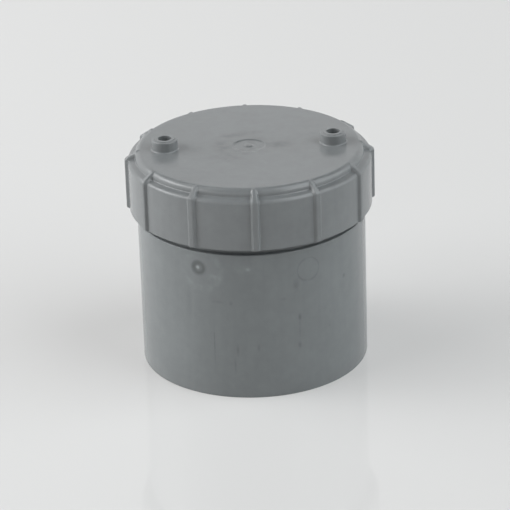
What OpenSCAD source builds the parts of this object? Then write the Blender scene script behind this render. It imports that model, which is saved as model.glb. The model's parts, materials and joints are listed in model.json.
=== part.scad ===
// Access cap for a soil pipe: a plain spigot tail with a threaded neck,
// a ribbed screw cap with two key bosses, and the seal ring between them.
// Millimetres. The origin is the centre of the tail's open end, +Z is up,
// and +X runs through the two key bosses. The front is -Y.

/* [Tail] */
// Outside diameter of the tail, the pipe's own size
pipe_d = 110; // [90:1:160]
// Wall of the tail
tail_wall = 3.2; // [2.6:0.1:4.5]
// Height of the tail, from its open end to the shoulder
tail_h = 74.5; // [50:0.5:120]
// Radius on the outer edge of the shoulder
shoulder_round = 0.6; // [0.3:0.1:1]
// Radius on the two edges of the open end
end_round = 0.4; // [0.2:0.1:0.8]

/* [Neck] */
// Step in from the tail's outside to the neck's outside
neck_step = 2.4; // [1.8:0.1:3]
// Wall of the neck, without its thread
neck_wall = 2.6; // [2.2:0.1:3.5]
// Height of the cone that joins the tail's bore to the neck's bore
throat_h = 5; // [3:0.5:8]
// Bevel on the rim's outer edge
rim_bevel = 0.6; // [0.3:0.1:1]
// Radius at the foot of the neck, where it meets the shoulder
neck_fillet = 0.8; // [0.3:0.1:1.2]

/* [Thread] */
// Rise of the thread in one turn
pitch = 6; // [5:0.5:8]
// Height of the neck's thread above the band that it stands on
thread_h = 1.7; // [1.2:0.1:2]
// Gap between the flanks of the two threads, along the axis
flank_gap = 0.45; // [0.35:0.05:0.8]
// Slope of a thread's flanks
thread_flank = 30; // [15:1:30]
// Gap between a crest and the band that it faces
thread_gap = 0.4; // [0.3:0.05:0.8]
// Part of a turn over which a thread fades in and out
thread_fade = 0.12; // [0.05:0.01:0.25]
// Plain stretch of the neck between the shoulder and its thread
neck_plain = 4.5; // [2:0.5:6]
// Plain stretch of the neck between its thread and the rim
rim_plain = 1.7; // [1:0.1:3]
// Plain stretch inside the cap between its mouth and its thread
mouth_plain = 1; // [0.8:0.1:3]
// Plain stretch inside the cap between its thread and the ceiling
ceiling_plain = 2.5; // [1:0.1:4]

/* [Screw cap] */
// Height of the cap, without its bosses
cap_h = 29.5; // [26:0.5:40]
// Gap between the cap's lower edge and the shoulder
cap_gap = 3.5; // [2:0.5:6]
// Wall of the skirt
skirt_wall = 3.2; // [2.6:0.1:4.5]
// Thickness of the top
top_wall = 3.2; // [2.6:0.1:4]
// Radius on the skirt's lower edge
skirt_round = 0.8; // [0.4:0.1:1.2]
// Radius where the ledge turns down into the skirt
ledge_round = 2.1; // [1.2:0.1:2.4]
// Step in from the skirt's outside to the raised disc
ledge_w = 3.9; // [3.4:0.1:4.6]
// Slope of the ledge below level
ledge_slope = 15; // [5:1:20]
// Height of the raised disc above the inner edge of the ledge
disc_h = 3.3; // [2.8:0.1:4]
// Radius on the raised disc's edge
disc_round = 2.4; // [1:0.1:2.5]
// Thickness of the cap under the ledge
ledge_wall = 3; // [2.4:0.1:4]
// Radius in the crease between the ledge and the raised disc
crease_round = 0.5; // [0.2:0.1:0.8]
// Bevel inside the skirt's lower edge
mouth_bevel = 0.7; // [0.3:0.1:1]

/* [Grip ribs] */
// Number of ribs round the skirt
rib_count = 12; // [6:2:24]
// How far a rib stands out of the skirt
rib_h = 1.4; // [0.8:0.1:2]
// Width of a rib's crest
rib_crest = 1.9; // [1:0.1:3]
// Width of a rib where it meets the skirt
rib_base = 4; // [3.2:0.1:6]
// Bevel along the edges of a rib's crest
rib_bevel = 0.25; // [0.1:0.05:0.4]
// Slope below level of a rib's crest over the ledge
rib_slope = 35; // [28:1:40]
// Radius where a rib's crest turns down the skirt
rib_turn = 1.6; // [0.5:0.1:3]
// Height of a rib's foot above the skirt's lower edge
rib_foot = 0.3; // [0:0.1:2]
// How far inside the raised disc's edge a rib's crest ends
rib_tip_in = 0.7; // [0.5:0.05:1.5]
// How far below the top a rib's crest ends
rib_tip_drop = 0.05; // [0.05:0.05:0.5]

/* [Key bosses] */
// Distance from the raised disc's edge to the middle of a boss
boss_inset = 14.3; // [12:0.1:18]
// Diameter of a boss
boss_d = 12.5; // [10:0.5:14]
// Height of a boss above the top
boss_h = 5.5; // [3:0.5:10]
// Diameter of the blind hole in a boss
boss_hole_d = 6.4; // [4:0.1:7]
// Depth of the blind hole
boss_hole_depth = 6.5; // [4:0.5:7]
// Diameter of the collar round the hole
boss_collar_d = 9.4; // [8:0.1:9.6]
// Height of the collar
boss_collar_h = 0.35; // [0.2:0.05:0.6]
// Radius at the foot of a boss
boss_fillet = 0.7; // [0.3:0.1:1.2]
// Radius on the upper edge of a boss
boss_round = 0.5; // [0.2:0.1:0.8]

/* [Seal] */
// Gap between the neck's rim and the seal ring above it
seal_gap = 0.3; // [0.2:0.05:0.5]
// Gap between the neck's rim and the cap's ceiling
rim_gap = 0.5; // [0.4:0.1:1]
// Thickness of the lip inside the cap that holds the seal ring
lip_wall = 2; // [1.5:0.1:3]
// Length of that lip below the top
lip_h = 5.8; // [4:0.1:9]
// Gap between the lip and the neck's bore
lip_gap = 0.8; // [0.5:0.1:1.5]
// Gap all round between the seal ring and its seat
seal_fit = 0.15; // [0.1:0.05:0.3]
// Radius on the lower edges of the seal ring
seal_round = 0.7; // [0.3:0.1:1]

/* [Moulding marks] */
// Angle of the tail's gate mark from the front
gate_angle = -30.5; // [-180:0.5:180]
// Height of the gate mark above the open end
gate_z = 66.4; // [10:0.1:66.5]
// Diameter of the dished gate mark
gate_d = 7.6; // [4:0.1:10]
// Depth of the gate mark
gate_depth = 0.5; // [0.3:0.05:0.8]
// Diameter of the stub left by the gate
gate_stub_d = 1.5; // [1:0.1:2.5]
// Angle of the ejector ring from the front
ring_angle = 28.5; // [-180:0.5:180]
// Height of the ejector ring above the open end
ring_z = 63.6; // [10:0.1:66.5]
// Diameter of the ejector ring
ring_d = 9.4; // [6:0.1:12]
// Depth of the ejector ring
ring_depth = 0.12; // [0.05:0.01:0.3]
// Width of the ejector ring's line
ring_w = 0.5; // [0.3:0.1:1]
// Diameter of the dished gate mark in the middle of the cap
cap_gate_d = 15.6; // [8:0.1:20]
// Depth of the cap's gate mark
cap_gate_depth = 0.35; // [0.2:0.05:0.6]
// Diameter of the stub left in the middle of the cap
cap_stub_d = 2.6; // [1:0.1:4]

/* [Hidden] */

// Facets round one turn of a thread and of the band under it
thread_facets = 90;
// Facets of the round surfaces in a preview
$fn = 180;
// Height of the bands above the plain neck and skirt
band_h = 0.3;
// How far one solid runs into another that it joins
bite = 0.6;
// Overrun of a cut past the surface that it opens
over = 1;
// Height at which a faded thread stops
thread_stop = 0.25;
// Steps in the turn of a rib's crest
turn_steps = 6;

pipe_r = pipe_d / 2;
bore_r = pipe_r - tail_wall;
neck_r = pipe_r - neck_step;
neck_bore_r = neck_r - neck_wall;
neck_band_r = neck_r + band_h;
neck_crest_r = neck_band_r + thread_h;
cap_band_r = neck_crest_r + thread_gap;
cap_crest_r = neck_band_r + thread_gap;
cavity_r = cap_band_r + band_h;
skirt_r = cavity_r + skirt_wall;
disc_r = skirt_r - ledge_w;

cap_z = tail_h + cap_gap;
top_z = cap_z + cap_h;
under_z = top_z - top_wall;
ledge_z = top_z - disc_h;
ceiling_z = ledge_z - ledge_wall;
rim_z = ceiling_z - rim_gap;
lip_z = under_z - lip_h;
lip_r = neck_bore_r - lip_gap;
lip_in_r = lip_r - lip_wall;
seat_r = neck_r;

// The ledge's outer rounding touches both the skirt and the sloping ledge
ledge_turn_x = skirt_r - ledge_round;
ledge_turn_z = ledge_z - (ledge_turn_x - disc_r) * tan(ledge_slope) - ledge_round / cos(ledge_slope);

// The bands that carry the threads, clear of the shoulder, the rim and the ceiling
neck_band_lo = tail_h + neck_plain;
neck_band_hi = rim_z - rim_plain;
cap_band_lo = cap_z + mouth_plain;
cap_band_hi = ceiling_z - ceiling_plain;

// Width of a thread's crest that leaves the flank gap on both sides
thread_crest = pitch / 2 - flank_gap - (thread_h - thread_gap) * tan(thread_flank);

// Half of a thread's width at its foot
thread_foot = thread_crest / 2 + (thread_h + thread_gap) * tan(thread_flank);

boss_r = disc_r - boss_inset;

// Points of a regular polygon whose corners are at radius r
function ngon(r, n) = [for (i = [0 : n - 1]) r * [cos(360 * i / n), sin(360 * i / n)]];

// Share of full height that a thread has at step i of n
function fade(i, n) = min(1, i / (thread_fade * thread_facets), (n - i) / (thread_fade * thread_facets));

// Four corners of a thread's section at step i: foot and crest below, crest and foot above
function thread_section(band_r, crest_r, z, a0, i, n) =
    let (
        out = sign(crest_r - band_r),
        h = thread_stop + (abs(crest_r - band_r) - thread_stop) * fade(i, n),
        a = a0 + 360 * i / thread_facets,
        zc = z + pitch * i / thread_facets,
        tip = band_r + out * h,
        foot = band_r - out * bite,
        half = thread_crest / 2,
        spread = half + (h + bite) * tan(thread_flank)
    )
    [for (p = [[foot, -spread], [tip, -half], [tip, half], [foot, spread]])
        [p[0] * cos(a), p[0] * sin(a), zc + p[1]]];

// A helical thread from height lo to height hi, starting at angle a0.
// Its crest is outside its band on the neck and inside it in the cap.
module thread(band_r, crest_r, lo, hi, a0) {
    n = floor((hi - lo - 2 * thread_foot) / pitch * thread_facets);
    points = [for (i = [0 : n]) each thread_section(band_r, crest_r, lo + thread_foot, a0, i, n)];
    quads = [for (i = [0 : n - 1], k = [0 : 3])
        [4 * i + k, 4 * i + (k + 1) % 4, 4 * (i + 1) + (k + 1) % 4, 4 * (i + 1) + k]];
    sides = [for (q = quads) each [[q[0], q[1], q[2]], [q[0], q[2], q[3]]]];
    ends = [[3, 2, 1], [3, 1, 0], [4 * n, 4 * n + 1, 4 * n + 2], [4 * n, 4 * n + 2, 4 * n + 3]];
    faces = concat(sides, ends);
    outward = crest_r > band_r;
    polyhedron(points, [for (f = faces) outward ? f : [f[2], f[1], f[0]]]);
}

// A rectangle in section, from one radius and height to another
module block(r0, r1, z0, z1) {
    translate([r0, z0]) square([r1 - r0, z1 - z0]);
}

// Section of a wall from r0 to r1 with one lower corner or both rounded
module rounded_foot(r0, r1, z0, z1, round_in, round_out) {
    block(r0 + round_in, r1 - round_out, z0, z1);
    block(r0, r1, z0 + max(round_in, round_out), z1);
    if (round_in > 0) translate([r0 + round_in, z0 + round_in]) circle(round_in);
    if (round_out > 0) translate([r1 - round_out, z0 + round_out]) circle(round_out);
}

// Section of the body's plain tail, with its rounded shoulder
module tail_section() {
    rounded_foot(bore_r, pipe_r, 0, tail_h - throat_h, end_round, end_round);
    polygon([
        [bore_r, tail_h - throat_h],
        [neck_bore_r, tail_h],
        [pipe_r - shoulder_round, tail_h],
        [pipe_r - shoulder_round, tail_h - throat_h]
    ]);
    block(bore_r + over, pipe_r, tail_h - throat_h - over, tail_h - shoulder_round);
    translate([pipe_r - shoulder_round, tail_h - shoulder_round]) circle(shoulder_round);
}

// Section of the neck, with a bevelled rim and a small fillet at its foot
module neck_section() {
    polygon([
        [neck_bore_r, tail_h - over],
        [neck_bore_r, rim_z],
        [neck_r - rim_bevel, rim_z],
        [neck_r, rim_z - rim_bevel],
        [neck_r, tail_h - over]
    ]);
    difference() {
        block(neck_r - over, neck_r + neck_fillet, tail_h - over, tail_h + neck_fillet);
        translate([neck_r + neck_fillet, tail_h + neck_fillet]) circle(neck_fillet);
    }
}

// The faceted band on the neck and the thread that stands on it
module neck_thread() {
    difference() {
        translate([0, 0, neck_band_lo])
            linear_extrude(neck_band_hi - neck_band_lo)
                polygon(ngon(neck_band_r, thread_facets));
        translate([0, 0, neck_band_lo - over])
            cylinder(r = (neck_bore_r + neck_r) / 2, h = neck_band_hi - neck_band_lo + 2 * over);
    }
    thread(neck_band_r, neck_crest_r, neck_band_lo, neck_band_hi, 0);
}

// Turns its children so that their +Z points out of the tail at an angle from the front
module on_tail(angle, z) {
    rotate([0, 0, angle - 90])
        translate([pipe_r, 0, z])
            rotate([0, 90, 0])
                children();
}

// The dished mark where the tail was filled in its mould, with the cut stub in the middle
module gate_mark() {
    difference() {
        translate([0, 0, -gate_depth]) cylinder(d = gate_d, h = gate_depth + over);
        translate([0, 0, -gate_depth - over]) cylinder(d = gate_stub_d, h = gate_depth + over);
    }
}

// The shallow ring that an ejector left on the tail
module ejector_ring() {
    translate([0, 0, -ring_depth])
        difference() {
            cylinder(d = ring_d, h = ring_depth + over);
            translate([0, 0, -over]) cylinder(d = ring_d - 2 * ring_w, h = ring_depth + 3 * over);
        }
}

module access_body() {
    color([0.47, 0.49, 0.5]) {
        difference() {
            union() {
                rotate_extrude() {
                    tail_section();
                    neck_section();
                }
                neck_thread();
            }
            on_tail(gate_angle, gate_z) gate_mark();
            on_tail(ring_angle, ring_z) ejector_ring();
        }
    }
}

// Section of the cap from outside: the skirt, the sloping ledge and the raised disc
module cap_outside() {
    crease_x = disc_r + crease_round;
    crease_z = ledge_z - crease_round * tan(ledge_slope) + crease_round / cos(ledge_slope);
    rounded_foot(0, skirt_r, cap_z, ledge_turn_z, 0, skirt_round);
    translate([ledge_turn_x, ledge_turn_z]) circle(ledge_round);
    polygon([
        [0, ledge_turn_z - over],
        [ledge_turn_x, ledge_turn_z - over],
        [ledge_turn_x, ledge_turn_z],
        [ledge_turn_x + ledge_round * sin(ledge_slope), ledge_turn_z + ledge_round * cos(ledge_slope)],
        [disc_r, ledge_z],
        [0, ledge_z]
    ]);
    block(0, disc_r, ledge_z - over, top_z - disc_round);
    block(0, disc_r - disc_round, ledge_z, top_z);
    translate([disc_r - disc_round, top_z - disc_round]) circle(disc_round);
    difference() {
        polygon([
            [disc_r - over, crease_z],
            [crease_x, crease_z],
            [crease_x - crease_round * sin(ledge_slope), crease_z - crease_round * cos(ledge_slope)],
            [disc_r - over, ledge_z - over]
        ]);
        translate([crease_x, crease_z]) circle(crease_round);
    }
}

// Section of the hollow inside the cap: the threaded cavity, the seal's seat and the middle
module cap_inside() {
    block(0, cavity_r, cap_z - over, lip_z);
    block(lip_r, cavity_r, lip_z - over, ceiling_z);
    block(lip_r, seat_r, lip_z - over, under_z);
    block(0, lip_in_r, lip_z - over, under_z);
    polygon([
        [cavity_r - over, cap_z - over],
        [cavity_r + mouth_bevel + over, cap_z - over],
        [cavity_r, cap_z + mouth_bevel],
        [cavity_r - over, cap_z + mouth_bevel]
    ]);
}

// The faceted band inside the skirt and the thread that stands on it
module cap_thread() {
    difference() {
        translate([0, 0, cap_band_lo])
            cylinder(r = (cavity_r + skirt_r) / 2, h = cap_band_hi - cap_band_lo);
        translate([0, 0, cap_band_lo - over])
            linear_extrude(cap_band_hi - cap_band_lo + 2 * over)
                polygon(ngon(cap_band_r / cos(180 / thread_facets), thread_facets));
    }
    // Half a pitch up from the neck's thread, so that the two run between each other
    start = 360 * ((cap_band_lo - neck_band_lo) / pitch - 0.5);
    thread(cap_band_r, cap_crest_r, cap_band_lo, cap_band_hi, start);
}

// Section of a rib across its crest, which lies at x = 0 with the wall on the -x side
module rib_section(depth) {
    slope = (rib_base - rib_crest) / 2 / rib_h;
    half = rib_crest / 2;
    polygon([
        [0, -half + rib_bevel],
        [0, half - rib_bevel],
        [-rib_bevel, half + rib_bevel * slope],
        [-depth, half + depth * slope],
        [-depth, -half - depth * slope],
        [-rib_bevel, -half - rib_bevel * slope]
    ]);
}

// Side view of a rib: its foot, its upright crest, the rounded turn and the slope to the disc's edge
module rib_side(crest_x, corner_z, tip_z) {
    bend = 90 - rib_slope;
    back = rib_turn * tan(bend / 2);
    arc = [for (i = [0 : turn_steps]) let (a = bend * i / turn_steps)
        [crest_x - rib_turn + rib_turn * cos(a), corner_z - back + rib_turn * sin(a)]];
    slope_x = crest_x - (tip_z - corner_z) / tan(rib_slope);
    polygon(concat(
        [[crest_x, cap_z + rib_foot]],
        arc,
        [
            [slope_x, tip_z],
            [disc_r - disc_round, tip_z],
            [disc_r - disc_round, ledge_z],
            [cavity_r + over, ceiling_z + over],
            [cavity_r + over, cap_z + rib_foot]
        ]
    ));
}

// One grip rib in the X-Z plane. It stands on the skirt, turns in over the ledge,
// and runs out at the raised disc's edge, a little below the top.
module rib() {
    crest_x = skirt_r + rib_h;
    tip_z = top_z - rib_tip_drop;
    corner_z = tip_z - (crest_x - disc_r + rib_tip_in) * tan(rib_slope);
    upright_depth = rib_h + skirt_wall / 2;
    mitre = (90 - rib_slope) / 2;
    // The cutting blocks reach well past the rib on every side
    reach = 3 * ledge_w;
    intersection() {
        union() {
            difference() {
                translate([crest_x, 0, cap_z - over])
                    linear_extrude(corner_z - cap_z + reach)
                        rib_section(upright_depth);
                translate([crest_x, 0, corner_z])
                    rotate([0, mitre, 0])
                        translate([-2 * reach, -reach, 0])
                            cube([4 * reach, 2 * reach, 2 * reach]);
            }
            difference() {
                translate([crest_x, 0, corner_z])
                    rotate([0, rib_slope - 90, 0])
                        translate([0, 0, -reach])
                            linear_extrude(2 * reach)
                                rib_section(disc_h);
                translate([crest_x, 0, corner_z])
                    rotate([0, mitre, 0])
                        translate([-2 * reach, -reach, -2 * reach])
                            cube([4 * reach, 2 * reach, 2 * reach]);
            }
        }
        translate([0, reach / 2, 0])
            rotate([90, 0, 0])
                linear_extrude(reach)
                    rib_side(crest_x, corner_z, tip_z);
    }
}

// One key boss with its collar and rounded edges, standing on z = 0
module boss() {
    r = boss_d / 2;
    flat_h = boss_h - boss_collar_h;
    rotate_extrude() {
        block(0, r - boss_round, -over, flat_h);
        block(0, r, -over, flat_h - boss_round);
        translate([r - boss_round, flat_h - boss_round]) circle(boss_round);
        block(0, boss_collar_d / 2, 0, boss_h);
        difference() {
            block(r - over, r + boss_fillet, -over, boss_fillet);
            translate([r + boss_fillet, boss_fillet]) circle(boss_fillet);
        }
    }
}

module at_bosses() {
    for (side = [-1, 1]) translate([side * boss_r, 0, top_z]) children();
}

// The dished mark in the middle of the top where the cap was filled
module cap_gate() {
    difference() {
        translate([0, 0, top_z - cap_gate_depth]) cylinder(d = cap_gate_d, h = over);
        translate([0, 0, top_z - over]) cylinder(d = cap_stub_d, h = over);
    }
}

module screw_cap() {
    color([0.52, 0.54, 0.55]) {
        difference() {
            union() {
                rotate_extrude() {
                    difference() {
                        cap_outside();
                        cap_inside();
                    }
                }
                cap_thread();
                for (i = [0 : rib_count - 1]) rotate([0, 0, 360 * i / rib_count]) rib();
                at_bosses() boss();
            }
            at_bosses()
                translate([0, 0, boss_h - boss_hole_depth])
                    cylinder(d = boss_hole_d, h = boss_hole_depth + over);
            cap_gate();
        }
    }
}

module seal_ring() {
    color([0.12, 0.12, 0.12])
        rotate_extrude()
            rounded_foot(
                lip_r + seal_fit, seat_r - seal_fit,
                rim_z + seal_gap, under_z,
                seal_round, seal_round
            );
}

access_body();
screw_cap();
seal_ring();
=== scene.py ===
"""Looks of a pipe access cap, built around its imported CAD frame.

Three mouldings stand for the three CAD solids: the body with its plain tail and
threaded neck, the ribbed screw cap with two key bosses, and the rubber seal ring.
Everything is in metres, +Z is up, the front is -Y and +X runs through the bosses.
"""
import json
import math

import bmesh
import bpy
from bpy.props import FloatProperty, FloatVectorProperty, IntProperty, PointerProperty
from mathutils import Matrix, Vector

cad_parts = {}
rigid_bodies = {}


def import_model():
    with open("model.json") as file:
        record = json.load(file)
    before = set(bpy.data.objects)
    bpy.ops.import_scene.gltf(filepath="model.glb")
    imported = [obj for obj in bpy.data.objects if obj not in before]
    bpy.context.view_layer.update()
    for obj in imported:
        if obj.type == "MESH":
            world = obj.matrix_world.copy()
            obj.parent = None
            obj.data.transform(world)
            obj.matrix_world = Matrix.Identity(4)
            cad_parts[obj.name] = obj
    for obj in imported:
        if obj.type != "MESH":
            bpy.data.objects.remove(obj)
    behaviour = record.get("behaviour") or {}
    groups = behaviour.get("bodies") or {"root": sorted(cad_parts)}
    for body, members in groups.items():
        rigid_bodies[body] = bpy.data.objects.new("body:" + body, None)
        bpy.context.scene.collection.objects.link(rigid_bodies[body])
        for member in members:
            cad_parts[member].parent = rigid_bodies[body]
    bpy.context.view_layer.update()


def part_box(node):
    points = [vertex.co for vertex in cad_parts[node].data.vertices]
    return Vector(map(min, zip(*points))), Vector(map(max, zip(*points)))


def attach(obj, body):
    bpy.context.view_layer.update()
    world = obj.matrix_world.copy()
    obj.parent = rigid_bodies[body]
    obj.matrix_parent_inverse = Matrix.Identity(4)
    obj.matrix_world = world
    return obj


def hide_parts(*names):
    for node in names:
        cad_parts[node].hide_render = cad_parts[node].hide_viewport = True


bl_info = {
    "name": "Pipe access cap",
    "version": (1, 0, 0),
    "blender": (4, 5, 0),
    "location": "View3D > Sidebar > Access cap",
    "description": "Builds the looks of a pipe access cap around its packed frame",
    "category": "Add Mesh",
}

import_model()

MM = 0.001
# Points closer than this are one point
SAME = 0.002 * MM
# Radius on the small edges that are hidden while the cap is on
FINE_EDGE = 0.3 * MM
# Faces sharper than this against each other keep a crisp edge in their shading
CRISP_DEGREES = 32
# A thread is spun in steps of this angle
THREAD_STEP = math.radians(4)
# Rows and columns of faces across the square that a mark in the tail is let into
WINDOW_STEPS = 16
BODY_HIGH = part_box("access_body")[1]
CAP_LOW, CAP_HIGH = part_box("screw_cap")
SEAL_LOW, SEAL_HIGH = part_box("seal_ring")


def linear(code):
    """Turns an sRGB hex colour into the linear values that Blender's sockets take."""
    values = []
    for i in (1, 3, 5):
        c = int(code[i:i + 2], 16) / 255
        values.append(c / 12.92 if c <= 0.04045 else ((c + 0.055) / 1.055) ** 2.4)
    return values


def length(name, description, default):
    """A size in metres that a user can change."""
    return FloatProperty(
        name=name, description=description, default=default, unit="LENGTH", precision=5
    )


def angle(name, description, degrees):
    """An angle that a user can change."""
    return FloatProperty(
        name=name, description=description, default=math.radians(degrees), subtype="ANGLE"
    )


def colour(name, description, code):
    """A colour that a user can change."""
    return FloatVectorProperty(
        name=name, description=description, default=linear(code), subtype="COLOR", min=0, max=1
    )


def power(name, stand, watts):
    """The power of a softbox, by where it stands, that a user can change."""
    return FloatProperty(
        name=name, description="Power of the softbox " + stand, default=watts, min=0, unit="POWER"
    )


def factor(name, description, default, low=0, high=1):
    """A share that a user can change."""
    return FloatProperty(
        name=name, description=description, default=default, min=low, max=high, subtype="FACTOR"
    )


def whole_number(name, description, default, least):
    """A count that a user can change."""
    return IntProperty(name=name, description=description, default=default, min=least)


class AccessBodySizes(bpy.types.PropertyGroup):
    pipe_r: length("Tail radius", "Outside radius of the tail", BODY_HIGH.x)
    bore_r: length("Tail bore", "Inside radius of the tail", 51.8 * MM)
    end_round: length("End rounding", "Radius on the two edges of the open end", 0.4 * MM)
    shoulder_z: length("Shoulder height", "Height of the shoulder above the open end", 74.5 * MM)
    shoulder_round: length("Shoulder rounding", "Radius on the shoulder's outer edge", 0.6 * MM)
    neck_r: length("Neck radius", "Outside radius of the plain neck", 52.6 * MM)
    neck_fillet: length("Neck fillet", "Radius at the foot of the neck", 0.8 * MM)
    neck_bore_r: length("Neck bore", "Inside radius of the neck", 50.0 * MM)
    throat_h: length("Throat", "Height of the cone between the two bores", 5.0 * MM)
    rim_z: length("Rim height", "Height of the neck's rim", BODY_HIGH.z)
    rim_bevel: length("Rim bevel", "Bevel on the rim's outer edge", 0.6 * MM)


class AccessThreadSizes(bpy.types.PropertyGroup):
    pitch: length("Pitch", "Rise of the thread in one turn", 6.0 * MM)
    crest_half: length("Crest", "Half of the width of a thread's crest", 0.9 * MM)
    foot_half: length("Foot", "Half of the width of a thread where it leaves the wall", 2.228 * MM)
    start_z: length("Start", "Height of both threads' middle at their lower ends", 81.112 * MM)
    neck_band_r: length("Neck band", "Radius of the band that carries the neck's thread", 52.9 * MM)
    neck_crest_r: length("Neck crest", "Radius of the neck thread's crest", 54.6 * MM)
    neck_foot_r: length("Neck foot", "Radius where the neck's thread leaves the wall", 52.3 * MM)
    neck_low: length("Neck band low", "Lower end of the neck's band", 79.0 * MM)
    neck_high: length("Neck band high", "Upper end of the neck's band", 99.0 * MM)
    neck_steps: whole_number("Neck steps", "Steps of 4 degrees in the neck's thread", 236, 90)
    cap_band_r: length("Cap band", "Radius of the band that carries the cap's thread", 55.0 * MM)
    cap_crest_r: length("Cap crest", "Radius of the cap thread's crest", 53.3 * MM)
    cap_foot_r: length("Cap foot", "Radius where the cap's thread leaves the skirt", 55.6 * MM)
    cap_low: length("Cap band low", "Lower end of the cap's band", 79.0 * MM)
    cap_high: length("Cap band high", "Upper end of the cap's band", 98.7 * MM)
    cap_steps: whole_number("Cap steps", "Steps of 4 degrees in the cap's thread", 232, 90)


class AccessCapSizes(bpy.types.PropertyGroup):
    low_z: length("Lower edge", "Height of the skirt's lower edge", CAP_LOW.z + 0.25 * MM)
    top_z: length("Top", "Height of the flat top", 107.5 * MM)
    skirt_r: length("Skirt radius", "Outside radius of the skirt", 58.5 * MM)
    skirt_round: length("Skirt rounding", "Radius on the skirt's lower edge", 0.4 * MM)
    ledge_round: length("Ledge rounding", "Radius where the ledge turns into the skirt", 2.1 * MM)
    ledge_slope: angle("Ledge slope", "Slope of the ledge below level", 15)
    ledge_z: length("Ledge height", "Height where the ledge would meet the raised disc", 103.9 * MM)
    crease_round: length("Crease rounding", "Radius between the ledge and the raised disc", 0.6 * MM)
    disc_r: length("Disc radius", "Radius of the raised disc", 54.95 * MM)
    disc_round: length("Disc rounding", "Radius on the raised disc's edge", 3.0 * MM)
    cavity_r: length("Cavity radius", "Inside radius of the skirt", 55.3 * MM)
    mouth_bevel: length("Mouth bevel", "Bevel inside the skirt's lower edge", 0.7 * MM)
    ceiling_z: length("Ceiling", "Height of the hollow's outer ceiling", 101.2 * MM)
    under_z: length("Underside", "Height of the top's underside", SEAL_HIGH.z)
    seat_r: length("Seal seat", "Outer radius of the seal's seat", 52.6 * MM)
    lip_r: length("Lip radius", "Outer radius of the lip that holds the seal", 49.2 * MM)
    lip_in_r: length("Lip bore", "Inner radius of that lip", 47.2 * MM)
    lip_z: length("Lip end", "Height of the lip's lower end", 98.5 * MM)


class AccessRibSizes(bpy.types.PropertyGroup):
    count: whole_number("Ribs", "Number of ribs round the skirt", 12, 4)
    crest_r: length("Crest radius", "Radius of a rib's upright crest", CAP_HIGH.x)
    crest_half: length("Crest", "Half of the width of a rib's crest", 1.35 * MM)
    base_half: length("Base", "Half of the width of a rib where it meets the skirt", 2.15 * MM)
    crest_round: length("Crest rounding", "Radius along the edges of a rib's crest", 0.85 * MM)
    base_fillet: length("Base fillet", "Radius where a rib meets the skirt", 0.2 * MM)
    foot_round: length("Foot rounding", "Radius where the crest turns in at its foot", 0.7 * MM)
    turn_round: length("Turn rounding", "Radius where the crest turns in over the ledge", 1.6 * MM)
    turn_z: length("Turn height", "Height where that turn starts", 102.37 * MM)
    slope: angle("Slope", "Slope below level of a rib's crest over the ledge", 35)
    tip_z: length("Tip height", "Height where a rib turns level at the disc's edge", 107.42 * MM)
    draft: factor("Draft", "Width of the flanks at the tip, as a share of that below", 0.2, low=0.1)
    taper: factor("Taper", "Share of its width that a rib loses up to its tip", 0.4, high=0.9)


class AccessBossSizes(bpy.types.PropertyGroup):
    reach: length("Reach", "Distance from the cap's middle to the middle of a boss", 40.3 * MM)
    radius: length("Radius", "Radius of a boss", 6.25 * MM)
    height: length("Height", "Height of a boss above the top", 5.5 * MM)
    fillet: length("Fillet", "Radius at the foot of a boss", 0.7 * MM)
    edge_round: length("Edge rounding", "Radius on the upper edge of a boss", 0.5 * MM)
    collar_r: length("Collar radius", "Radius of the collar round the hole", 4.7 * MM)
    collar_h: length("Collar height", "Height of the collar", 0.35 * MM)
    collar_round: length("Collar rounding", "Radius on the collar's edges", 0.14 * MM)
    hole_r: length("Hole radius", "Radius of the blind hole", 3.2 * MM)
    hole_depth: length("Hole depth", "Depth of the blind hole", 6.5 * MM)


class AccessSealSizes(bpy.types.PropertyGroup):
    inner_r: length("Inner radius", "Inner radius of the seal ring", 49.35 * MM)
    outer_r: length("Outer radius", "Outer radius of the seal ring", SEAL_HIGH.x)
    low_round: length("Lower rounding", "Radius on the ring's two lower edges", 0.7 * MM)
    top_round: length("Upper rounding", "Radius on the ring's two upper edges", 0.15 * MM)


class AccessMarkSizes(bpy.types.PropertyGroup):
    gate_at: angle("Gate mark angle", "Angle of the tail's gate mark from the front", -29.4)
    gate_z: length("Gate mark height", "Height of the gate mark above the open end", 66.2 * MM)
    gate_r: length("Gate mark radius", "Radius of the dished gate mark", 3.8 * MM)
    gate_depth: length("Gate mark depth", "Depth of the dish", 0.18 * MM)
    gate_stub_r: length("Gate stub radius", "Radius of the stub that the gate left", 0.75 * MM)
    ring_at: angle("Ejector ring angle", "Angle of the ejector ring from the front", 26.3)
    ring_z: length("Ejector ring height", "Height of the ejector ring above the open end", 63.575 * MM)
    ring_r: length("Ejector ring radius", "Outer radius of the ejector ring", 6.0 * MM)
    ring_w: length("Ejector ring width", "Width of the ejector ring's line", 0.5 * MM)
    ring_depth: length("Ejector ring depth", "Depth of the ejector ring", 0.12 * MM)
    window: length("Window", "Half of the side of the square that a mark is let into", 7.0 * MM)
    cap_gate_r: length("Cap gate radius", "Radius of the dished mark on the cap", 7.8 * MM)
    cap_gate_depth: length("Cap gate depth", "Depth of that dish", 0.35 * MM)
    cap_stub_r: length("Cap stub radius", "Radius of the stub in that dish", 1.3 * MM)


class AccessPlasticFinish(bpy.types.PropertyGroup):
    body: colour("Body colour", "Colour of the body's grey plastic", "#6d7172")
    cap: colour("Cap colour", "Colour of the cap's grey plastic", "#6f7273")
    rubber: colour("Rubber colour", "Colour of the seal ring", "#1d1e1f")
    gloss: factor("Roughness", "Roughness of the moulded skin", 0.2)


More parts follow.
